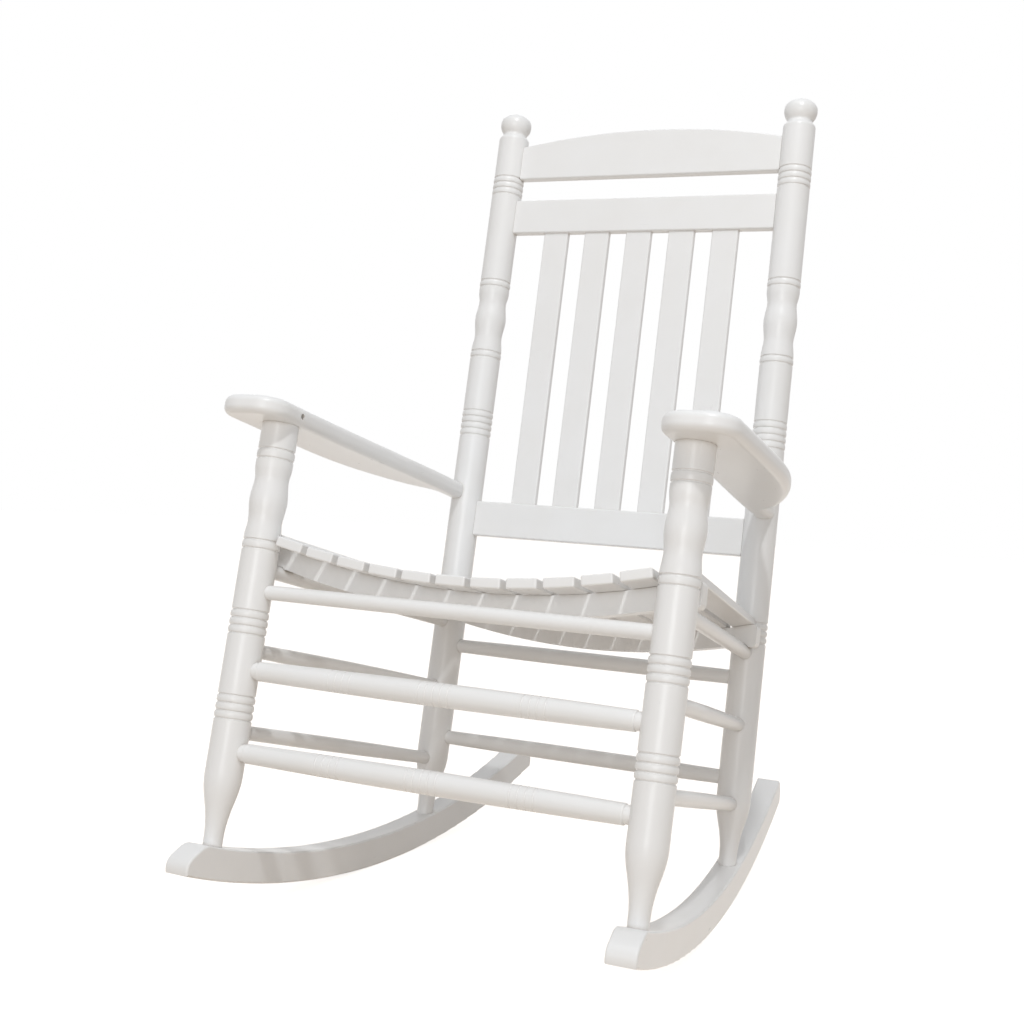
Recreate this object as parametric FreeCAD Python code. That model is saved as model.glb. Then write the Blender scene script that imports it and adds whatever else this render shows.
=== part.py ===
import FreeCAD, Part
import math
import os

# White wooden porch rocking chair with turned posts, in millimetres.
# The pieces are worked out in the joiner's frame: the front posts upright, X across the chair
# (right as seen from the front), Y towards the back from the front posts' axes, and Z up from
# the rockers' lowest point. At the end the whole chair is leaned back to where it balances.

V = FreeCAD.Vector

# Fits
joint_gap = 0.1             # round a tenon in its socket, and under a piece that rests on another
screw_gap = 0.08            # round a screw in its hole
tiny = 0.01                 # an edge that spans less than this counts as level or as flat

# Posts
post_radius = 23.4
front_post_spacing = 549.0  # between the axes
back_post_spacing = 470.6   # between the axes, at the rockers' lowest point
back_top_spacing = 456.8    # between the axes, at the finials
back_post_depth = 479.3     # behind the front posts, at the rockers' lowest point
back_top_depth = 440.7      # behind the front posts, at the finials
back_post_length = 1190.0   # from the height of the rockers' lowest point to the finial's top

# Turned details of the posts. A group of beads is the height of its first groove and its pitch.
groove_width = 3.0
groove_depth = 1.3
bead_crown = 0.5            # how far a bead swells between its grooves
group_grooves = 4
middle_group_grooves = 5
pair_grooves = 2
foot_radius = 12.0
foot_length = 10.0          # straight part above the rocker
foot_taper = 76.0
foot_belly = (0.5, 0.44)    # share of the taper's height, and of its widening reached there
swell_radius = 23.9
swell_shoulder = 17.0       # from a swelling's upper neck to the full radius
front_lower_beads = (199.3, 9.7)
front_upper_beads = (304.3, 9.7)
front_waist_beads = (161.0, 11.0)       # from here up the front post's heights are below the arm
front_necks = (125.0, 70.0)
front_swell = 98.0
front_neck_radius = 21.4
front_collar_beads = (46.0, 12.0)
back_seat_beads = (395.8, 9.3)
back_middle_beads = (670.0, 9.5)
back_waist_beads = (793.0, 9.5)
back_necks = (826.0, 884.0)
back_swell = 856.0
back_neck_radius = 20.9
back_collar_beads = (906.0, 9.5)
back_top_beads = (1055.5, 9.2)
finial_cove = 10.0          # from the full radius up to the finial's neck
finial_neck_radius = 18.0
finial_height = 33.5        # from the neck to the top
finial_cheeks = ((3.0, 19.6), (8.0, 22.6))      # heights above the neck, and radii
finial_radius = 24.0
finial_widest = 17.0        # below the top

# Tenons
tenon_root = 5.0            # how far a tenon reaches back into its own piece
rung_tenon = 13.5           # how deep a rung enters a post
foot_tenon_radius = 9.0
foot_tenon = 24.0
arm_tenon_radius = 11.0
arm_tenon = 15.0
tail_tenon_radius = 7.5
tail_tenon = 16.0

# Rockers
rocker_radius = 1273.0      # of the edge that rolls on the floor
rocker_height = 39.5
rocker_thickness = 35.0
rocker_rounding = 2.5
rocker_low_point = 117.0    # behind the front post
rocker_nose = 60.0          # how far the nose reaches in front of the front post's axis
rocker_nose_round = 34.0    # length of the nose's rounded top
rocker_toe = 3.0            # of the rolling edge's front end behind the nose's foremost point
nose_shape = ((0.47, 0.77), (0.08, 0.42))       # shares of the rounded length and of the nose's height
nose_ways = (V(-1, 0, -0.1), V(0.45, 0, -1))    # of the nose's curve at the top and at the toe
rocker_tail = 764.0         # how far the rear end reaches behind the front post's axis
rocker_tail_round = 7.0

# Arms
arm_underside = 571.6       # at the front post's axis
arm_slope = 0.5             # degrees that the arm falls towards the back
arm_thickness = 24.0
arm_rounding = 9.3
arm_width = 91.0
arm_overhang = 60.3         # of the outer edge outside the front post's axis
arm_nose = 65.5             # in front of the front post's axis
arm_corner = 36.0
arm_straight = 122.0        # behind the front post, where the outer edge turns in
arm_taper = ((0.456, 0.158), (0.635, 0.363), (0.856, 0.772))    # shares of its length and its step
arm_tail_width = 25.0
arm_tail_length = 30.0
arm_tail_offset = 8.6       # of the tail outside the back post's axis
arm_inner_bow = 2.6         # of the inner edge towards the chair's middle
arm_bow_place = 0.62        # share of the way from the front post to the tail

# Seat height, which carries the seat, its rails and the side rungs under it
seat_height = 400.0         # top of the middle slat

# Rungs
front_rung_heights = {"top": 358.6, "middle": 261.0, "lower": 160.5}
back_rung_heights = {"upper": 346.2, "lower": 208.3}
rung_straight = 2.0         # before a plain rung begins to swell
plain_rung_end = 9.2
plain_rung_middle = 9.6
turned_rung_end = 10.8
turned_rung_shoulder = 12.2
turned_rung_middle = 14.2
turned_rung_neck = 5.0
shoulder_length = 3.0
shoulder_curve = (2.1, 0.3)     # its middle point's distance before its end and inside its radius
rung_bead_offset = 126.5    # of the outer bead groups from the rung's middle
rung_bead_pitch = 9.7
rung_groove_depth = 0.9
rung_groove_width = 2.6
back_rung_end = 10.0
back_rung_middle = 11.3
side_rungs = {              # height at the front, height at the back, end radius, middle radius
    "upper": (seat_height - 12.1, seat_height - 20.2, 9.0, 9.6),
    "middle": (286.2, 281.0, 8.8, 10.3),
    "lower": (184.8, 173.3, 9.0, 10.0),
}

# Seat
seat_bowl_radius = 1020.0
slat_thickness = 12.5
slat_rounding = 2.2
inner_slats = 11
seat_front = 11.0           # slat ends in front of the front posts' axes
seat_back = 450.0
front_slat_pitch = 45.2
back_slat_pitch = 38.3
front_slat_gap = 6.6
back_slat_gap = 5.2
seat_side_reach = 8.5       # of the outer slat's edge outside the side rung's axis
seat_post_gap = 2.0         # between a slat and a post

# Seat rails
seat_rail_thickness = 20.0
seat_rail_depth = 27.0
front_rail_face = 42.0      # front face, behind the front posts' axes
back_rail_face = 418.0
rail_end_reach = 19.0       # of a rail's end outside the side rung's axis
rail_notch = 3.0            # how deep a rail's end sits on the side rung
rail_flat = 10.0            # where its flat end begins, inside the side rung's axis
rail_end_rounding = 7.0

# Back rails and slats
back_board_thickness = 16.0
board_rounding = 2.5
crest_bottom = 1081.6
crest_end_height = 54.3     # where the arched top begins
crest_rise = 17.5
crest_straight_end = 8.0    # visible length of top between the arch and a post
upper_rail_bottom = 994.0
upper_rail_height = 52.7
lower_rail_bottom = 516.0
lower_rail_height = 52.8
rail_tenon_thickness = 10.0
rail_tenon_shoulder = 6.0
back_slats = 5
back_slat_width = 40.0
back_slat_pitch_across = 67.45
back_slat_thickness = 10.0
back_slat_setback = 4.0     # behind the rails' front faces
slat_tenon = 12.0
slat_tenon_thickness = 6.0
slat_tenon_shoulder = 4.0

# Screws
screw_radius = 2.0
screw_head_radius = 3.8
screw_head_height = 2.6
screw_recess = 1.0          # of the hole above a head that lies at the surface
screw_access = 30.0         # length of the wide hole behind a head that is sunk deep
slat_screw_sink = 0.3
rocker_screw_sink = 8.0
arm_screw_sink = 4.0
tail_screw_sink = 2.0
slat_screw_length = 30.0
rail_screw_length = 36.0
rail_screw_bite = 13.0      # how deep it goes into the side rung
rocker_screw_length = 55.0
arm_screw_length = 32.0
tail_screw_length = 52.0
rail_screw_spread = 4.5     # slat screws stand this far in front of a rail's middle, rung screws behind it

# Rest
greatest_lean = 30.0        # degrees, where the search for the resting lean ends
lean_steps = 50
steel_to_wood = 12.0        # densities

nodes = {}


# Shapes and places

def front_axis(height):
    return V(front_post_spacing / 2, 0, height)


back_foot_point = V(back_post_spacing / 2, back_post_depth, 0)
back_top_point = V(back_top_spacing / 2, back_top_depth, 0)
back_top_point.z = math.sqrt(back_post_length ** 2 - (back_top_point - back_foot_point).Length ** 2)


def back_axis(height):
    return back_foot_point + (back_top_point - back_foot_point) * (height / back_top_point.z)


def cylinder(start, end, radius):
    return Part.makeCylinder(radius, (end - start).Length, start, end - start)


def board(outline, thickness, lowest=0.0):
    """Extrudes a closed outline of edges in the XZ plane along +Y from lowest."""
    face = Part.Face(Part.Wire(outline))
    solid = face.extrude(V(0, thickness, 0))
    solid.translate(V(0, lowest, 0))
    return solid


def line(start, end):
    return Part.LineSegment(start, end).toShape()


def arc(start, middle, end):
    return Part.Arc(start, middle, end).toShape()


def spline(points, start_way, end_way):
    curve = Part.BSplineCurve()
    curve.interpolate(Points=points, InitialTangent=start_way, FinalTangent=end_way)
    return curve.toShape()


def mirrored(solid):
    return solid.mirror(V(0, 0, 0), V(1, 0, 0))


def add_pair(name, solid):
    nodes[name + "_right"] = solid
    nodes[name + "_left"] = mirrored(solid)


class Turning:
    """The outline of a turned piece, from its lower end up, as radius against height."""

    def __init__(self, height, radius, depth=groove_depth, width=groove_width):
        self.edges = []
        self.height = height
        self.radius = radius
        self.first = height
        self.groove_depth = depth
        self.groove_width = width
        self.follow(V(0, 0, height), V(radius, 0, height))

    def follow(self, *points):
        if len(points) == 2:
            self.edges.append(line(*points))
        else:
            self.edges.append(arc(*points))
        self.radius = points[-1].x
        self.height = points[-1].z

    def here(self):
        return V(self.radius, 0, self.height)

    def straight(self, height, radius=None):
        self.follow(self.here(), V(self.radius if radius is None else radius, 0, height))

    def bow(self, middle_radius, height, radius):
        self.follow(self.here(), V(middle_radius, 0, (self.height + height) / 2), V(radius, 0, height))

    def sweep(self, middle_radius, height, radius):
        """A long, very shallow swelling."""
        path = [self.here(), V(middle_radius, 0, (self.height + height) / 2), V(radius, 0, height)]
        curve = Part.BSplineCurve()
        curve.interpolate(Points=path)
        self.edges.append(curve.toShape())
        self.height, self.radius = height, radius

    def curve(self, points, end_way=V(0, 0, 1)):
        """A smooth curve through (height, radius) points that leaves along the axis."""
        path = [self.here()] + [V(radius, 0, height) for height, radius in points]
        self.edges.append(spline(path, V(0, 0, 1), end_way))
        self.height, self.radius = points[-1]

    def groove(self, height):
        radius = self.radius
        half = self.groove_width / 2
        self.follow(self.here(), V(radius - self.groove_depth, 0, height), V(radius, 0, height + half))

    def beads(self, first, pitch, count):
        """Grooves at an even pitch, with a rounded bead between each two."""
        radius = self.radius
        half = self.groove_width / 2
        self.straight(first - half)
        for number in range(count):
            height = first + number * pitch
            self.groove(height)
            if number < count - 1:
                self.bow(radius + bead_crown, height + pitch - half, radius)

    def solid(self, start=V(0, 0, 0), way=V(0, 0, 1)):
        """The piece of revolution, stood on start along way."""
        if self.radius > 0:
            self.follow(self.here(), V(0, 0, self.height))
        self.edges.append(line(V(0, 0, self.height), V(0, 0, self.first)))
        piece = Part.Face(Part.Wire(self.edges)).revolve(V(0, 0, 0), V(0, 0, 1), 360)
        piece.Placement = FreeCAD.Placement(start, FreeCAD.Rotation(V(0, 0, 1), way))
        return piece


# Screws

screw_groups = {"seat_slat_screws": [], "seat_rail_screws": [], "rocker_screws": [], "arm_screws": []}


def screw_shape(head, way, length, gap, recess):
    """A countersunk screw whose head's flat is at head, or its hole when it has a gap and a recess."""
    way = V(way).normalize()
    sunk = head + way * screw_head_height
    cone = Part.makeCone(screw_head_radius + gap, screw_radius + gap, screw_head_height, head, way)
    shape = cone.fuse(cylinder(sunk, head + way * (length + gap), screw_radius + gap))
    if recess:
        shape = shape.fuse(cylinder(head - way * recess, head, screw_head_radius + gap))
    return shape


def drive_screw(group, head, way, length, recess=screw_recess):
    """Adds a screw to its group and gives back the hole that the pieces round it need."""
    screw_groups[group].append(screw_shape(head, way, length, 0.0, 0.0))
    return screw_shape(head, way, length, screw_gap, recess)


# Rockers

toe_angle = math.atan2((front_post_spacing - back_post_spacing) / 2, back_post_depth)
foot_run = math.hypot((front_post_spacing - back_post_spacing) / 2, back_post_depth)
rocker_axes = FreeCAD.Placement(
    V(front_post_spacing / 2, 0, 0), FreeCAD.Rotation(V(0, 0, 1), 90 + math.degrees(toe_angle)))
rocker_centre = V(rocker_low_point, 0, rocker_radius)


def rocker_edge(run, radius):
    """A point on an arc round the rocker's centre, run behind the front post."""
    return V(run, 0, rocker_radius - math.sqrt(radius ** 2 - (run - rocker_low_point) ** 2))


def rocker_arc(start, end, radius):
    return arc(start, rocker_edge((start.x + end.x) / 2, radius), end)


def rocker_blank(raised=0.0):
    """A rocker in its own plane, its top raised by a gap where it serves as a cutter."""
    top_radius = rocker_radius - rocker_height - raised
    top_front = rocker_edge(rocker_nose_round - rocker_nose, top_radius)
    bottom_front = rocker_edge(rocker_toe - rocker_nose, rocker_radius)
    turn = math.asin((rocker_tail - rocker_low_point) / rocker_radius)
    way = V(math.sin(turn), 0, -math.cos(turn))
    top_rear = rocker_centre + way * top_radius
    bottom_rear = rocker_centre + way * rocker_radius
    end_middle = (top_rear + bottom_rear) / 2 + V(math.cos(turn), 0, math.sin(turn)) * rocker_tail_round
    nose_height = top_front.z - bottom_front.z
    nose = [V(along * rocker_nose_round - rocker_nose, 0, bottom_front.z + up_share * nose_height)
            for along, up_share in nose_shape]
    outline = [
        rocker_arc(bottom_front, bottom_rear, rocker_radius),
        arc(bottom_rear, end_middle, top_rear),
        rocker_arc(top_rear, top_front, top_radius),
        spline([top_front, *nose, bottom_front], *nose_ways),
    ]
    return board(outline, rocker_thickness, -rocker_thickness / 2)


def foot_socket(centre, way):
    """The foot tenon's place in the rocker, from its end up to above the rocker."""
    return (centre - way * foot_tenon, centre + way * rocker_height)


rocker = rocker_blank()
rocker = rocker.makeFillet(
    rocker_rounding, [edge for edge in rocker.Edges if abs(edge.CenterOfMass.y) > rocker_thickness / 4])
rocker.Placement = rocker_axes
rocker_cutter = rocker_blank(joint_gap)
rocker_cutter.Placement = rocker_axes


# Posts

def swell(turning, necks, neck_radius, middle):
    """A neck, a swelling and a neck in one smooth curve."""
    low, high = necks
    turning.curve([
        (low, neck_radius), (middle, swell_radius), (high, neck_radius),
        (high + swell_shoulder, post_radius)])


def foot_outline(rocker_top):
    """Starts a post with a foot that reaches below the rocker's top, to be cut to it."""
    turning = Turning(rocker_top - foot_tenon / 2, foot_radius)
    turning.straight(rocker_top + foot_length)
    along, wider = foot_belly
    turning.curve([
        (turning.height + along * foot_taper, foot_radius + wider * (post_radius - foot_radius)),
        (turning.height + foot_taper, post_radius)])
    return turning


front_rocker_top = rocker_edge(0, rocker_radius - rocker_height).z
back_rocker_top = rocker_edge(foot_run, rocker_radius - rocker_height).z
back_way = V(back_top_point - back_foot_point).normalize()

front_turning = foot_outline(front_rocker_top)
front_turning.beads(*front_lower_beads, group_grooves)
front_turning.beads(*front_upper_beads, group_grooves)
waist, waist_pitch = front_waist_beads
front_turning.beads(arm_underside - waist, waist_pitch, pair_grooves)
swell(
    front_turning, [arm_underside - neck for neck in front_necks], front_neck_radius,
    arm_underside - front_swell)
collar, collar_pitch = front_collar_beads
front_turning.beads(arm_underside - collar, collar_pitch, pair_grooves)
front_turning.straight(arm_underside + tenon_root)
front_post = front_turning.solid(front_axis(0))

back_turning = foot_outline(back_rocker_top)
back_turning.beads(*back_seat_beads, group_grooves)
back_turning.beads(*back_middle_beads, middle_group_grooves)
back_turning.beads(*back_waist_beads, pair_grooves)
swell(back_turning, back_necks, back_neck_radius, back_swell)
back_turning.beads(*back_collar_beads, pair_grooves)
back_turning.beads(*back_top_beads, group_grooves)
finial_neck = back_post_length - finial_height
finial_belt = back_post_length - finial_widest
half_turn = math.sqrt(0.5)
back_turning.straight(finial_neck - finial_cove)
back_turning.curve([(finial_neck, finial_neck_radius)])
back_turning.curve(
    [(finial_neck + rise, radius) for rise, radius in finial_cheeks] + [(finial_belt, finial_radius)])
back_turning.curve(
    [(finial_belt + half_turn * finial_widest, half_turn * finial_radius), (back_post_length, 0.0)],
    end_way=V(-1, 0, 0))
back_post = back_turning.solid(back_foot_point, back_way)

front_post = front_post.cut(rocker_cutter)
back_post = back_post.cut(rocker_cutter)

up = V(0, 0, 1)
front_foot = foot_socket(front_axis(front_rocker_top), up)
back_foot = foot_socket(back_axis(back_rocker_top), back_way)
front_foot_top = front_axis(front_rocker_top + foot_length)
back_foot_top = back_axis(back_rocker_top + foot_length)
front_post = front_post.fuse(cylinder(front_foot[0], front_foot_top, foot_tenon_radius))
back_post = back_post.fuse(cylinder(back_foot[0], back_foot_top, foot_tenon_radius))
for low, high in (front_foot, back_foot):
    way = V(high - low).normalize()
    rocker = rocker.cut(cylinder(low - way * joint_gap, high, foot_tenon_radius + joint_gap))

# The front post's top is cut to the arm's slope
arm_place = FreeCAD.Placement(V(0, 0, arm_underside), FreeCAD.Rotation(V(1, 0, 0), -arm_slope))
arm_space = Part.makeCylinder(2 * post_radius, arm_thickness, V(front_post_spacing / 2, 0, -joint_gap))
arm_space.Placement = arm_place
arm_tenon_root = front_axis(arm_underside - tenon_root)
arm_tenon_top = front_axis(arm_underside + arm_tenon)
front_post = front_post.cut(arm_space).fuse(cylinder(arm_tenon_root, arm_tenon_top, arm_tenon_radius))


# Screws up through the rockers into the feet

for low, way, run in ((front_foot[0], up, 0), (back_foot[0], back_way, foot_run)):
    under = rocker_edge(run, rocker_radius).z
    head = low + way * ((under - low.z) / way.z + rocker_screw_sink)
    hole = drive_screw("rocker_screws", head, way, rocker_screw_length, screw_access)
    rocker = rocker.cut(hole)
    front_post = front_post.cut(hole)
    back_post = back_post.cut(hole)


# Rungs

def rung(start, end, end_radius, middle_radius):
    """A plain rung between two post axes, swelling gently to its middle, and its sockets' cutter."""
    way = V(end - start).normalize()
    inset = post_radius - rung_tenon
    length = (end - start).Length
    turning = Turning(inset, end_radius)
    turning.straight(post_radius + rung_straight)
    turning.sweep(middle_radius, length - post_radius - rung_straight, end_radius)
    turning.straight(length - inset)
    return turning.solid(start, way), rung_socket(start, end, end_radius)


def rung_socket(start, end, end_radius):
    way = V(end - start).normalize()
    inset = post_radius - rung_tenon - joint_gap
    return cylinder(start + way * inset, end - way * inset, end_radius + joint_gap)


def barrel_radius(offset, half):
    """The turned rungs' radius, offset from the middle."""
    return turned_rung_middle - (turned_rung_middle - turned_rung_shoulder) * (offset / half) ** 2


def turned_rung(start, end):
    """A front rung with three groups of grooves on a barrel between two necks."""
    way = V(end - start).normalize()
    inset = post_radius - rung_tenon
    middle = (end - start).Length / 2
    half = middle - post_radius - turned_rung_neck - shoulder_length
    before, inside = shoulder_curve
    turning = Turning(inset, turned_rung_end, rung_groove_depth, rung_groove_width)
    turning.straight(middle - half - shoulder_length)
    turning.follow(
        turning.here(), V(turned_rung_shoulder - inside, 0, middle - half - before),
        V(turned_rung_shoulder, 0, middle - half))
    groups = (
        (-rung_bead_offset, group_grooves), (0, middle_group_grooves), (rung_bead_offset, group_grooves))
    for centre, count in groups:
        first = centre - (count - 1) * rung_bead_pitch / 2
        for number in range(count):
            groove = first + number * rung_bead_pitch
            approach = groove - rung_groove_width / 2
            offset = turning.height - middle
            between = barrel_radius((offset + approach) / 2, half)
            turning.sweep(between, middle + approach, barrel_radius(approach, half))
            turning.groove(middle + groove)
    offset = turning.height - middle
    turning.sweep(barrel_radius((offset + half) / 2, half), middle + half, turned_rung_shoulder)
    turning.follow(
        turning.here(), V(turned_rung_shoulder - inside, 0, middle + half + before),
        V(turned_rung_end, 0, middle + half + shoulder_length))
    turning.straight(2 * middle - inset)
    return turning.solid(start, way), rung_socket(start, end, turned_rung_end)


def across(point):
    return V(-point.x, point.y, point.z), point


for name, height in front_rung_heights.items():
    if name == "top":
        piece, socket = rung(*across(front_axis(height)), plain_rung_end, plain_rung_middle)
    else:
        piece, socket = turned_rung(*across(front_axis(height)))
    nodes["front_rung_" + name] = piece
    front_post = front_post.cut(socket)

for name, height in back_rung_heights.items():
    piece, socket = rung(*across(back_axis(height)), back_rung_end, back_rung_middle)
    nodes["back_rung_" + name] = piece
    back_post = back_post.cut(socket)

side_rung_pieces = {}
for name, (front_height, back_height, end_radius, middle_radius) in side_rungs.items():
    piece, socket = rung(front_axis(front_height), back_axis(back_height), end_radius, middle_radius)
    side_rung_pieces[name] = piece
    front_post = front_post.cut(socket)
    back_post = back_post.cut(socket)


# Back rails, crest rail and back slats, in the plane of the back posts' axes

back_plane_turn = math.degrees(math.atan2(back_post_depth - back_top_depth, back_top_point.z))


def in_back_plane(solid):
    """Leans a board that stands over the X axis into the plane of the back posts."""
    solid.rotate(V(0, 0, 0), V(1, 0, 0), back_plane_turn)
    solid.translate(V(0, back_post_depth, 0))
    return solid


def round_edges(solid, radius, wanted):
    return solid.makeFillet(radius, [edge for edge in solid.Edges if wanted(edge)])


def level(edge):
    """True for an edge that runs across the chair."""
    box = edge.BoundBox
    return box.XLength > 4 * max(box.YLength, box.ZLength)


def rail_board(half_length, bottom, height, rise):
    """A board across the back. A rise arches its top, and the ends go on straight at the arch's slope."""
    low_left, low_right = V(-half_length, 0, bottom), V(half_length, 0, bottom)
    if rise:
        half_arch = half_length - post_radius - crest_straight_end
        arch_radius = (half_arch ** 2 + rise ** 2) / (2 * rise)
        drop = (half_length - half_arch) * half_arch / (arch_radius - rise)
    else:
        half_arch, drop = half_length, 0.0
    high_left, high_right = (V(side * half_length, 0, bottom + height - drop) for side in (-1, 1))
    if rise:
        arch_left, arch_right = (V(side * half_arch, 0, bottom + height) for side in (-1, 1))
        arch = arc(arch_right, V(0, 0, bottom + height + rise), arch_left)
        top = [line(high_right, arch_right), arch, line(arch_left, high_left)]
    else:
        top = [line(high_right, high_left)]
    outline = [line(low_left, low_right), line(low_right, high_right), *top, line(high_left, low_left)]
    solid = board(outline, back_board_thickness, -back_board_thickness / 2)
    return round_edges(solid, board_rounding, level)


def back_rail(bottom, height, rise=0.0):
    """A back rail with coped shoulders and a tenon in each back post, and the tenons' cutter."""
    centre = back_axis(bottom + height / 2).x
    reach = centre - post_radius + rung_tenon
    piece = in_back_plane(rail_board(centre, bottom, height, rise))
    for side in (-1, 1):
        low, high = (V(side * point.x, point.y, point.z) for point in (back_axis(0), back_top_point))
        piece = piece.cut(cylinder(low, high, post_radius + joint_gap))
    piece = max(piece.Solids, key=lambda solid: solid.Volume)
    tenons = []
    for gap in (0.0, joint_gap):
        tenon = Part.makeBox(
            2 * (reach + gap), rail_tenon_thickness + 2 * gap, height - 2 * rail_tenon_shoulder + 2 * gap,
            V(-reach - gap, -rail_tenon_thickness / 2 - gap, bottom + rail_tenon_shoulder - gap))
        tenons.append(in_back_plane(tenon))
    return piece.fuse(tenons[0]), tenons[1]


back_rails = {}
for name, sizes in {
    "crest_rail": (crest_bottom, crest_end_height, crest_rise),
    "upper_back_rail": (upper_rail_bottom, upper_rail_height),
    "lower_back_rail": (lower_rail_bottom, lower_rail_height),
}.items():
    back_rails[name], cutter = back_rail(*sizes)
    back_post = back_post.cut(cutter)

slat_low = lower_rail_bottom + lower_rail_height
slat_high = upper_rail_bottom
slat_face = back_slat_setback - back_board_thickness / 2
for number in range(back_slats):
    middle = (number - (back_slats - 1) / 2) * back_slat_pitch_across
    slat = Part.makeBox(
        back_slat_width, back_slat_thickness, slat_high - slat_low,
        V(middle - back_slat_width / 2, slat_face, slat_low))
    slat = round_edges(slat, board_rounding, lambda edge: edge.BoundBox.ZLength > back_slat_width)
    tenon_face = slat_face + (back_slat_thickness - slat_tenon_thickness) / 2
    tenon_half = back_slat_width / 2 - slat_tenon_shoulder
    shapes = []
    for gap in (0.0, joint_gap):
        shapes.append(in_back_plane(Part.makeBox(
            2 * (tenon_half + gap), slat_tenon_thickness + 2 * gap,
            slat_high - slat_low + 2 * (slat_tenon + gap),
            V(middle - tenon_half - gap, tenon_face - gap, slat_low - slat_tenon - gap))))
    nodes[f"back_slat_{number + 1}"] = in_back_plane(slat).fuse(shapes[0])
    for name in ("upper_back_rail", "lower_back_rail"):
        back_rails[name] = back_rails[name].cut(shapes[1])
nodes.update(back_rails)


# Seat slats: straight boards that lie on a shallow bowl and close up towards the back

side_front = front_axis(side_rungs["upper"][0])
side_back = back_axis(side_rungs["upper"][1])
last_inner_slat = (inner_slats - 1) // 2


def side_rung_at(depth):
    """A point on the upper side rung's axis."""
    share = (depth - side_front.y) / (side_back.y - side_front.y)
    return side_front + (side_back - side_front) * share


def bowl_height(across_seat):
    return seat_height + seat_bowl_radius - math.sqrt(seat_bowl_radius ** 2 - across_seat ** 2)


def share_back(depth):
    return (depth + seat_front) / (seat_back + seat_front)


def slat_pitch(depth):
    return front_slat_pitch + (back_slat_pitch - front_slat_pitch) * share_back(depth)


def slat_gap(depth):
    return front_slat_gap + (back_slat_gap - front_slat_gap) * share_back(depth)


def slat_edges(number, depth):
    """Where a slat's two edges lie across the seat; number 0 is the middle slat."""
    pitch, gap = slat_pitch(depth), slat_gap(depth)
    if number <= last_inner_slat:
        return number * pitch - (pitch - gap) / 2, number * pitch + (pitch - gap) / 2
    return last_inner_slat * pitch + (pitch + gap) / 2, side_rung_at(depth).x + seat_side_reach


def slat_turn(number, depths):
    """The slat's sideways tilt, the mean of the bowl's at its two ends."""
    middles = [sum(slat_edges(number, depth)) / 2 for depth in depths]
    return sum(math.asin(middle / seat_bowl_radius) for middle in middles) / 2


def slat_corners(number, depth, turn):
    """The four corners of a slat's section, from its lower left round."""
    left, right = slat_edges(number, depth)
    middle = (left + right) / 2
    centre = V(middle, depth, bowl_height(middle))
    over = V(math.cos(turn), 0, math.sin(turn)) * ((right - left) / 2)
    down = V(math.sin(turn), 0, -math.cos(turn)) * slat_thickness
    return [centre - over + down, centre + over + down, centre + over, centre - over]


def slat_depths(number):
    if number <= last_inner_slat:
        return -seat_front, seat_back
    return post_radius + seat_post_gap, back_axis(seat_height).y - post_radius - seat_post_gap


def seat_slat(number):
    depths = slat_depths(number)
    turn = slat_turn(number, depths)
    corners = [slat_corners(number, depth, turn) for depth in depths]
    ends = [Part.makePolygon(four + four[:1]) for four in corners]
    slat = Part.makeLoft(ends, True, True)
    slat = slat.makeFillet(slat_rounding, slat.Edges)
    for low, high in ((front_axis(0), front_axis(arm_underside)), (back_axis(0), back_axis(arm_underside))):
        slat = slat.cut(cylinder(low, high, post_radius + seat_post_gap / 2))
    return slat


slat_numbers = range(last_inner_slat + 2)
slats = {number: seat_slat(number) for number in slat_numbers}


# Seat rails: crescent boards whose tops follow the slats, notched over the upper side rungs

def rail_top(faces, side_reach):
    """The rail's upper outline, just under every slat, from its middle to its right end."""
    points = []
    for number in slat_numbers:
        depths = slat_depths(number)
        turn = slat_turn(number, depths)
        undersides = [slat_corners(number, depth, turn)[:2] for depth in faces]
        for corner in (0, 1):
            side = [under[corner] for under in undersides]
            x = sum(point.x for point in side) / len(side)
            points.append(V(x, 0, min(point.z for point in side) - joint_gap))
    points = points[1:]
    last, before = points[-1], points[-2]
    slope = (last.z - before.z) / (last.x - before.x)
    points[-1] = V(side_reach, 0, last.z + slope * (side_reach - last.x))
    return points


def seat_rail(face):
    middle = side_rung_at(face + seat_rail_thickness / 2)
    reach = middle.x + rail_end_reach
    top = rail_top((face, face + seat_rail_thickness), reach)
    low_end = middle.z + side_rungs["upper"][2] - rail_notch
    flat = middle.x - rail_flat
    centre_low = seat_height - slat_thickness - seat_rail_depth
    right = [V(flat, 0, low_end), V(reach, 0, low_end)] + top[::-1]
    left = [V(-point.x, 0, point.z) for point in reversed(right)]
    corners = right + left
    outline = [line(a, b) for a, b in zip(corners, corners[1:])]
    outline.append(arc(left[-1], V(0, 0, centre_low), right[0]))
    rail = board(outline, seat_rail_thickness, face)

    def end_corner(edge):
        box = edge.BoundBox
        at_end = max(box.XMax, -box.XMin) > reach - tiny
        return at_end and box.YLength > seat_rail_thickness / 2

    rail = round_edges(rail, rail_end_rounding, end_corner)
    for side in (-1, 1):
        start, end = (V(side * point.x, point.y, point.z) for point in (side_front, side_back))
        rail = rail.cut(cylinder(start, end, side_rungs["upper"][3] + joint_gap))
    return rail


rail_faces = {"front_seat_rail": front_rail_face, "rear_seat_rail": back_rail_face}
rails = {name: seat_rail(face) for name, face in rail_faces.items()}

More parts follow.
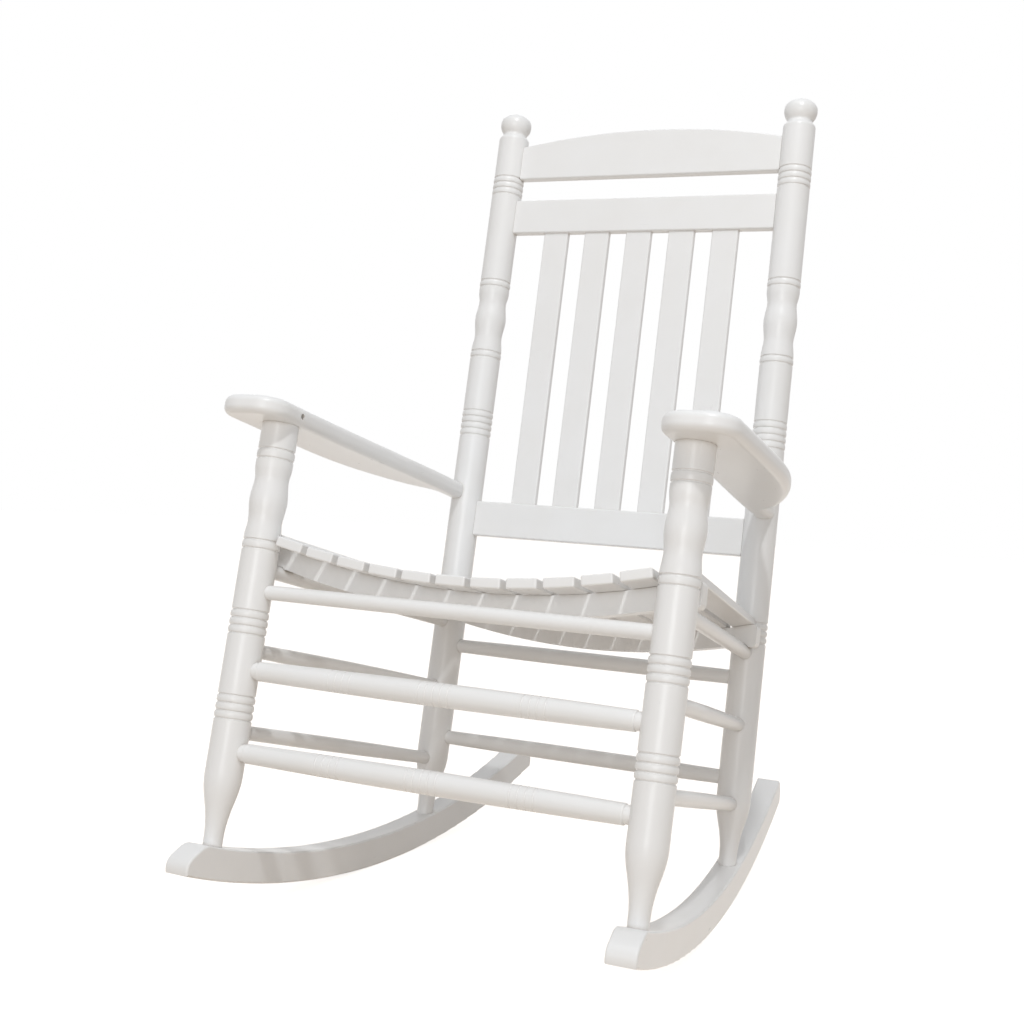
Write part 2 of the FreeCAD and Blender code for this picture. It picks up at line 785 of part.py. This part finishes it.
for name, face in rail_faces.items():
    middle_depth = face + seat_rail_thickness / 2
    for number in slat_numbers:
        turn = slat_turn(number, slat_depths(number))
        depth = middle_depth - rail_screw_spread
        corners = slat_corners(number, depth, turn)
        way = V(math.sin(turn), 0, -math.cos(turn))
        head = (corners[2] + corners[3]) / 2 + way * slat_screw_sink
        hole = drive_screw("seat_slat_screws", head, way, slat_screw_length)
        slats[number] = slats[number].cut(hole)
        rails[name] = rails[name].cut(hole)
        if number:
            screw_groups["seat_slat_screws"].append(mirrored(screw_groups["seat_slat_screws"][-1]))
            rails[name] = rails[name].cut(mirrored(hole))
    depth = middle_depth + rail_screw_spread
    rung_point = side_rung_at(depth)
    rung_top = rung_point.z + side_rungs["upper"][3]
    head = V(rung_point.x, depth, rung_top + rail_screw_length - rail_screw_bite)
    hole = drive_screw("seat_rail_screws", head, V(0, 0, -1), rail_screw_length, screw_access)
    side_rung_pieces["upper"] = side_rung_pieces["upper"].cut(hole)
    rails[name] = rails[name].cut(hole).cut(mirrored(hole))
    screw_groups["seat_rail_screws"].append(mirrored(screw_groups["seat_rail_screws"][-1]))

nodes.update(rails)
count = 2 * max(slat_numbers) + 1
for number, slat in slats.items():
    nodes[f"seat_slat_{(count + 1) // 2 + number}"] = slat
    if number:
        nodes[f"seat_slat_{(count + 1) // 2 - number}"] = mirrored(slat)


# Arms, drawn level with the underside at height 0 and then set on the front posts

arm_drop = back_post_depth * math.tan(math.radians(arm_slope))
tail_axis = back_axis(arm_underside + arm_thickness / 2 - arm_drop)
tail_middle = tail_axis.x + arm_tail_offset
tail_start = tail_axis.y - post_radius - arm_tail_length
inner_tail = tail_middle - arm_tail_width / 2
outer_tail = tail_middle + arm_tail_width / 2
arm_reach = front_post_spacing / 2 + arm_overhang
arm_inside = arm_reach - arm_width
taper_run = tail_start - arm_straight
taper_step = arm_reach - outer_tail
outer_taper = [
    V(arm_reach - across_share * taper_step, arm_straight + along_share * taper_run, 0)
    for along_share, across_share in ((0, 0), *arm_taper, (1, 1))]
corner_y = arm_corner - arm_nose
diagonal = arm_corner * (1 - math.sqrt(0.5))
arm_outline = [
    arc(V(arm_inside, corner_y, 0), V(arm_inside + diagonal, diagonal - arm_nose, 0),
        V(arm_inside + arm_corner, -arm_nose, 0)),
    line(V(arm_inside + arm_corner, -arm_nose, 0), V(arm_reach - arm_corner, -arm_nose, 0)),
    arc(V(arm_reach - arm_corner, -arm_nose, 0), V(arm_reach - diagonal, diagonal - arm_nose, 0),
        V(arm_reach, corner_y, 0)),
    line(V(arm_reach, corner_y, 0), outer_taper[0]),
    spline(outer_taper, V(0, 1, 0), V(0, 1, 0)),
    line(outer_taper[-1], V(outer_tail, tail_axis.y, 0)),
    line(V(outer_tail, tail_axis.y, 0), V(inner_tail, tail_axis.y, 0)),
    line(V(inner_tail, tail_axis.y, 0), V(inner_tail, tail_start, 0)),
    spline([V(inner_tail, tail_start, 0),
            V((arm_inside + inner_tail) / 2 - arm_inner_bow, arm_bow_place * tail_start, 0),
            V(arm_inside, corner_y, 0)], V(0, -1, 0), V(0, -1, 0)),
]
arm = Part.Face(Part.Wire(arm_outline)).extrude(V(0, 0, arm_thickness))
arm = round_edges(arm, arm_rounding, lambda edge: edge.BoundBox.ZLength < tiny)
arm.Placement = arm_place
arm = arm.cut(cylinder(back_axis(0), back_axis(2 * arm_underside), post_radius + joint_gap))
arm = max(arm.Solids, key=lambda solid: solid.Volume)
arm = arm.cut(cylinder(arm_tenon_root, arm_tenon_top + up * joint_gap, arm_tenon_radius + joint_gap))
tail_way = arm_place.Rotation.multVec(V(0, 1, 0))
tail_centre = arm_place.multVec(V(tail_middle, tail_axis.y, arm_thickness / 2))
tail_root = arm_place.multVec(V(tail_middle, tail_start + arm_tail_length / 2, arm_thickness / 2))
tail_end = tail_centre - tail_way * (post_radius - tail_tenon)
arm = arm.fuse(cylinder(tail_root, tail_end, tail_tenon_radius))
tail_socket_end = tail_end + tail_way * joint_gap
back_post = back_post.cut(cylinder(tail_root, tail_socket_end, tail_tenon_radius + joint_gap))

tenon_screw_head = arm_place.multVec(V(arm_inside + arm_screw_sink, 0, arm_thickness / 2))
hole = drive_screw("arm_screws", tenon_screw_head, V(1, 0, 0), arm_screw_length, screw_access)
arm = arm.cut(hole)
front_post = front_post.cut(hole)
tail_screw_head = tail_centre + tail_way * (post_radius - tail_screw_sink)
hole = drive_screw("arm_screws", tail_screw_head, tail_way * -1, tail_screw_length, screw_access)
arm = arm.cut(hole)
back_post = back_post.cut(hole)


# Naming

add_pair("rocker", rocker)
add_pair("front_post", front_post)
add_pair("back_post", back_post)
add_pair("arm", arm)
for name, piece in side_rung_pieces.items():
    add_pair("side_rung_" + name, piece)
for group in ("rocker_screws", "arm_screws"):
    screw_groups[group] += [mirrored(screw) for screw in screw_groups[group]]
for group, screws in screw_groups.items():
    nodes[group] = Part.makeCompound(screws)


# Rest: the chair leans back until its centre of mass is straight above where the rockers touch

total = 0.0
moment = V(0, 0, 0)
for name, shape in nodes.items():
    for solid in shape.Solids:
        weight = solid.Volume * (steel_to_wood if name in screw_groups else 1.0)
        total += weight
        moment += solid.CenterOfMass * weight
mass_centre = moment / total

# Seen from the side, the toed-in rockers' outer edge is an ellipse, a little behind the rockers' middle.
outer_shift = (rocker_thickness / 2 - rocker_rounding) * math.sin(toe_angle)
side_centre = V(0, rocker_low_point * math.cos(toe_angle) + outer_shift, rocker_radius)
half_depth = rocker_radius * math.cos(toe_angle)


def lowest_point(lean):
    """Where the rockers touch the floor at a lean, in the joiner's frame."""
    down_y, down_z = math.sin(lean), -math.cos(lean)
    size = math.hypot(half_depth * down_y, rocker_radius * down_z)
    return side_centre + V(0, half_depth ** 2 * down_y, rocker_radius ** 2 * down_z) / size


def leaned(point, lean):
    return V(point.x, point.y * math.cos(lean) + point.z * math.sin(lean),
             point.z * math.cos(lean) - point.y * math.sin(lean))


low_lean, high_lean = 0.0, math.radians(greatest_lean)
for step in range(lean_steps):
    rest_lean = (low_lean + high_lean) / 2
    if leaned(mass_centre, rest_lean).y > leaned(lowest_point(rest_lean), rest_lean).y:
        low_lean = rest_lean
    else:
        high_lean = rest_lean

for shape in nodes.values():
    shape.rotate(V(0, 0, 0), V(1, 0, 0), -math.degrees(rest_lean))
whole = Part.makeCompound(list(nodes.values())).optimalBoundingBox(False, False)
shift = V(0, -(whole.YMin + whole.YMax) / 2, -whole.ZMin)

os.makedirs("parts", exist_ok=True)
for name, shape in nodes.items():
    shape.translate(shift)
    shape.exportStep(f"parts/{name}.step")

print("nodes", len(nodes), "solids", sum(len(shape.Solids) for shape in nodes.values()))
print("rest lean", round(math.degrees(rest_lean), 4), "shift", [round(value, 3) for value in shift])
print("mass centre before the lean", [round(value, 1) for value in mass_centre])
print("box", [round(value, 2) for value in (whole.XLength, whole.YLength, whole.ZLength)])
for name, shape in nodes.items():
    if not shape.isValid() or (name not in screw_groups and len(shape.Solids) != 1):
        print("look at", name, shape.isValid(), len(shape.Solids))
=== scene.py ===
import math

import bpy
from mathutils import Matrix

# The looks of a white painted porch rocking chair. Its shapes are the CAD nodes, in metres.

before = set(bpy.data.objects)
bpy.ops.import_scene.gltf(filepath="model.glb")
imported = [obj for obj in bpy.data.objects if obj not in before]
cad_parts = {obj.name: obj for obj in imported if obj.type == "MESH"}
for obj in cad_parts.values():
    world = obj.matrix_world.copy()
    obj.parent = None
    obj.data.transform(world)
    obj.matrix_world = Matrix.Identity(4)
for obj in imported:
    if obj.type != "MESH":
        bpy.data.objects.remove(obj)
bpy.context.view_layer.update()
scene = bpy.context.scene
bpy.ops.object.select_all(action="DESELECT")

MM = 0.001
ACROSS, DEEP, UPRIGHT = range(3)   # the axis along which a piece's grain runs


def linear(hex_colour):
    """An sRGB hex colour as the linear RGBA that a socket takes."""
    channels = [int(hex_colour[i:i + 2], 16) / 255 for i in (1, 3, 5)]
    return [c / 12.92 if c <= 0.04045 else ((c + 0.055) / 1.055) ** 2.4 for c in channels] + [1.0]


def add_node(tree, kind, settings=None, inputs=None, links=None):
    """Adds a shader node, sets its properties and its input values, and links inputs to outputs."""
    node = tree.nodes.new(kind)
    for name, value in (settings or {}).items():
        setattr(node, name, value)
    for name, value in (inputs or {}).items():
        node.inputs[name].default_value = value
    for name, output in (links or {}).items():
        tree.links.new(output, node.inputs[name])
    return node


def new_material(name):
    """An empty node material and its tree."""
    material = bpy.data.materials.new(name)
    material.use_nodes = True
    material.node_tree.nodes.clear()
    return material, material.node_tree


# Semi-gloss paint, brushed over sanded hardwood: a white film with soft wide highlights. It levels
# out, so the pores show only as faint long dents along the grain, and the brush leaves wider marks
# the same way. The film is thinner in patches, and the grooves and corners are greyed with painted
# shade.
PAINT = "#F4F4F4"
THIN_PAINT = "#EFEEEC"
# the grey of the painted shade in grooves and corners
CREVICE_SHADE_PAINT = "#D0CAC3"
PAINT_IOR = 1.5
PORE_WIDTH = 0.8 * MM              # real pores are about 0.2 mm wide, which is too fine to show
PORE_DEPTH = 0.1 * MM
PORE_STRENGTH = 0.10
BRUSH_MARK_WIDTH = 4 * MM
BRUSH_MARK_DEPTH = 0.3 * MM
BRUSH_MARK_STRENGTH = 0.12
WIDTH_TO_LENGTH = 0.04             # of a pore or a brush mark, across the grain to along it
COAT_PATCH = 70 * MM
SHINY, DULL = 0.24, 0.38           # roughness, which follows the brush marks
# painted shade: how far the occlusion looks, and the shares of open air at which it is fullest and
# gone
CREVICE_SHADE_REACH = 8 * MM
MOST_SHADED, UNSHADED_FROM = 0.25, 0.8    # shares of open air within that reach
CREVICE_SHADE_RAYS = 8

# A colour Mix node's sockets, by number because its other kinds have sockets of the same names
MIX_COLOURS = {"data_type": "RGBA"}
MIX_FACTOR, MIX_A, MIX_B, MIX_RESULT = 0, 6, 7, 2


def brushed_white_paint(name, grain_axis):
    """White paint whose pores and brush marks run along one axis."""
    material, tree = new_material(name)
    place = add_node(tree, "ShaderNodeTexCoord").outputs["Object"]
    stretch = [1.0, 1.0, 1.0]
    stretch[grain_axis] = WIDTH_TO_LENGTH
    along = add_node(tree, "ShaderNodeMapping", inputs={"Scale": stretch},
                     links={"Vector": place}).outputs["Vector"]
    pores = add_node(tree, "ShaderNodeTexNoise", inputs={"Scale": 1 / PORE_WIDTH, "Detail": 3.0},
                     links={"Vector": along}).outputs["Fac"]
    marks = add_node(tree, "ShaderNodeTexNoise", inputs={"Scale": 1 / BRUSH_MARK_WIDTH, "Detail": 2.0},
                     links={"Vector": along}).outputs["Fac"]
    patches = add_node(tree, "ShaderNodeTexNoise", inputs={"Scale": 1 / COAT_PATCH, "Detail": 4.0},
                       links={"Vector": place}).outputs["Fac"]

    coat = add_node(tree, "ShaderNodeMix", MIX_COLOURS,
                    {MIX_A: linear(THIN_PAINT), MIX_B: linear(PAINT)}, {MIX_FACTOR: patches})
    # painted shade: the paint turns grey where little open air surrounds it, in grooves and corners
    open_air = add_node(tree, "ShaderNodeAmbientOcclusion", {"samples": CREVICE_SHADE_RAYS},
                        {"Distance": CREVICE_SHADE_REACH}).outputs["AO"]
    unshaded = add_node(tree, "ShaderNodeMapRange", inputs={"From Min": MOST_SHADED, "From Max": UNSHADED_FROM},
                     links={"Value": open_air}).outputs["Result"]
    colour = add_node(tree, "ShaderNodeMix", MIX_COLOURS, {MIX_A: linear(CREVICE_SHADE_PAINT)},
                      {MIX_FACTOR: unshaded, MIX_B: coat.outputs[MIX_RESULT]}).outputs[MIX_RESULT]

    sheen = add_node(tree, "ShaderNodeMapRange", inputs={"To Min": SHINY, "To Max": DULL},
                     links={"Value": marks}).outputs["Result"]
    brushed = add_node(tree, "ShaderNodeBump",
                       inputs={"Strength": BRUSH_MARK_STRENGTH, "Distance": BRUSH_MARK_DEPTH},
                       links={"Height": marks}).outputs["Normal"]
    grained = add_node(tree, "ShaderNodeBump",
                       inputs={"Strength": PORE_STRENGTH, "Distance": PORE_DEPTH},
                       links={"Height": pores, "Normal": brushed}).outputs["Normal"]
    paint = add_node(tree, "ShaderNodeBsdfPrincipled", inputs={"IOR": PAINT_IOR},
                     links={"Base Color": colour, "Roughness": sheen, "Normal": grained})
    add_node(tree, "ShaderNodeOutputMaterial", links={"Surface": paint.outputs["BSDF"]})
    return material


# Zinc-plated steel screws: bluish grey and half matt, with fine scuffs that change the gloss.
ZINC = "#B9BCBD"
SCUFF_WIDTH = 0.3 * MM             # real scuffs are about 0.05 mm wide, which is too fine to show
POLISHED, SCUFFED = 0.3, 0.55      # roughness


def zinc_plated_steel(name):
    """Plated steel with a scuffed sheen."""
    material, tree = new_material(name)
    place = add_node(tree, "ShaderNodeTexCoord").outputs["Object"]
    scuffs = add_node(tree, "ShaderNodeTexNoise", inputs={"Scale": 1 / SCUFF_WIDTH, "Detail": 3.0},
                      links={"Vector": place}).outputs["Fac"]
    gloss = add_node(tree, "ShaderNodeMapRange", inputs={"To Min": POLISHED, "To Max": SCUFFED},
                     links={"Value": scuffs}).outputs["Result"]
    steel = add_node(tree, "ShaderNodeBsdfPrincipled",
                     inputs={"Base Color": linear(ZINC), "Metallic": 1.0}, links={"Roughness": gloss})
    add_node(tree, "ShaderNodeOutputMaterial", links={"Surface": steel.outputs["BSDF"]})
    return material


paint_along = {
    ACROSS: brushed_white_paint("brushed_white_paint_across", ACROSS),
    DEEP: brushed_white_paint("brushed_white_paint_front_to_back", DEEP),
    UPRIGHT: brushed_white_paint("brushed_white_paint_upright", UPRIGHT),
}
screw_steel = zinc_plated_steel("zinc_plated_steel")

# How the pieces' names start, and which way their grain runs. It runs across in all the others.
GRAIN_OF = {
    "arm": DEEP, "rocker": DEEP, "side_rung": DEEP, "seat_slat": DEEP,
    "front_post": UPRIGHT, "back_post": UPRIGHT, "back_slat": UPRIGHT,
}
for name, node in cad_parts.items():
    grain = next((axis for start, axis in GRAIN_OF.items() if name.startswith(start)), ACROSS)
    node.data.materials.clear()
    node.data.materials.append(screw_steel if name.endswith("_screws") else paint_along[grain])


# Floor and backdrop: pale and matt, and where the camera or a reflection sees them, lifted to white
FLOOR_RADIUS = 9.0
FLOOR_CORNERS = 64
FLOOR_COLOUR = "#DFD2C3"
FLOOR_LIFT = 0.82
BACKDROP_LIGHT = 0.4
BACKDROP_COLOUR = "#FCFDFF"
WHITE = "#FFFFFF"


def seen_directly(tree):
    """1 for rays on which the background has to be white: the camera's, and mirrored ones."""
    ray = add_node(tree, "ShaderNodeLightPath").outputs
    beyond = add_node(tree, "ShaderNodeMath", {"operation": "MAXIMUM"},
                      links={0: ray["Is Glossy Ray"], 1: ray["Is Transmission Ray"]}).outputs[0]
    return add_node(tree, "ShaderNodeMath", {"operation": "MAXIMUM"},
                    links={0: ray["Is Camera Ray"], 1: beyond}).outputs[0]


def pale_floor():
    """A matt floor that glows only where it is seen directly."""
    material, tree = new_material("pale_floor")
    matt = add_node(tree, "ShaderNodeBsdfDiffuse", inputs={"Color": linear(FLOOR_COLOUR)})
    lift = add_node(tree, "ShaderNodeMath", {"operation": "MULTIPLY"}, {1: FLOOR_LIFT},
                    {0: seen_directly(tree)}).outputs[0]
    glow = add_node(tree, "ShaderNodeEmission", links={"Strength": lift})
    both = add_node(tree, "ShaderNodeAddShader",
                    links={0: matt.outputs["BSDF"], 1: glow.outputs["Emission"]})
    add_node(tree, "ShaderNodeOutputMaterial", links={"Surface": both.outputs["Shader"]})
    return material


def white_backdrop():
    """A world that is white where it is seen directly, and lights the chair softly."""
    world = bpy.data.worlds.new("backdrop")
    world.use_nodes = True
    tree = world.node_tree
    tree.nodes.clear()
    seen = add_node(tree, "ShaderNodeBackground", inputs={"Color": linear(WHITE), "Strength": 1.0})
    soft = add_node(tree, "ShaderNodeBackground",
                    inputs={"Color": linear(BACKDROP_COLOUR), "Strength": BACKDROP_LIGHT})
    sky = add_node(tree, "ShaderNodeMixShader",
                   links={0: seen_directly(tree), 1: soft.outputs["Background"],
                          2: seen.outputs["Background"]})
    add_node(tree, "ShaderNodeOutputWorld", links={"Surface": sky.outputs["Shader"]})
    return world


bpy.ops.mesh.primitive_circle_add(vertices=FLOOR_CORNERS, radius=FLOOR_RADIUS, fill_type="NGON",
                                  location=(0, 0, 0))
floor = bpy.context.object
floor.name = "floor"
floor.data.materials.append(pale_floor())
scene.world = white_backdrop()


# Soft lamps: a wide key in front, a weaker one over the chair, and a small one high in front on the
# right, whose light falls through the seat's gaps onto the front seat rail. Each has its place, its
# width in metres and its power in watts, and faces the chair's middle.
LAMPS = {
    "key_lamp": ((1.0, -4.4, 1.5), 2.0, 45),
    "top_lamp": ((0.2, -0.6, 4.0), 1.8, 12),
    "gap_lamp": ((0.9, -1.8, 3.7), 0.24, 42),
}
LAMP_COLOUR = "#FBFDFF"            # a little cool, against the warm light from the floor
CHAIR_MIDDLE = (0.0, 0.0, 0.5)

for name, (place, width, watts) in LAMPS.items():
    bpy.ops.object.light_add(type="AREA", location=place)
    lamp = bpy.context.object
    lamp.name = name
    lamp.data.shape = "DISK"
    lamp.data.size = width
    lamp.data.energy = watts
    lamp.data.color = linear(LAMP_COLOUR)[:3]
    x, y, z = (aim - start for aim, start in zip(CHAIR_MIDDLE, place))
    lamp.rotation_euler = (math.atan2(math.hypot(x, y), -z), 0, math.atan2(-x, y))

# The camera at the photograph's viewing angle: metres, degrees and millimetres
CAMERA_PLACE = (0.76628, -1.79218, 0.59033)
CAMERA_TURN = (87.6575, -2.9029, 24.8793)
SENSOR_WIDTH = 36.0
FOCAL_LENGTH = 50.89

bpy.ops.object.camera_add(location=CAMERA_PLACE,
                          rotation=[math.radians(angle) for angle in CAMERA_TURN])
camera = bpy.context.object
camera.data.sensor_width = SENSOR_WIDTH
camera.data.lens = FOCAL_LENGTH
scene.camera = camera

scene.view_settings.view_transform = "Standard"
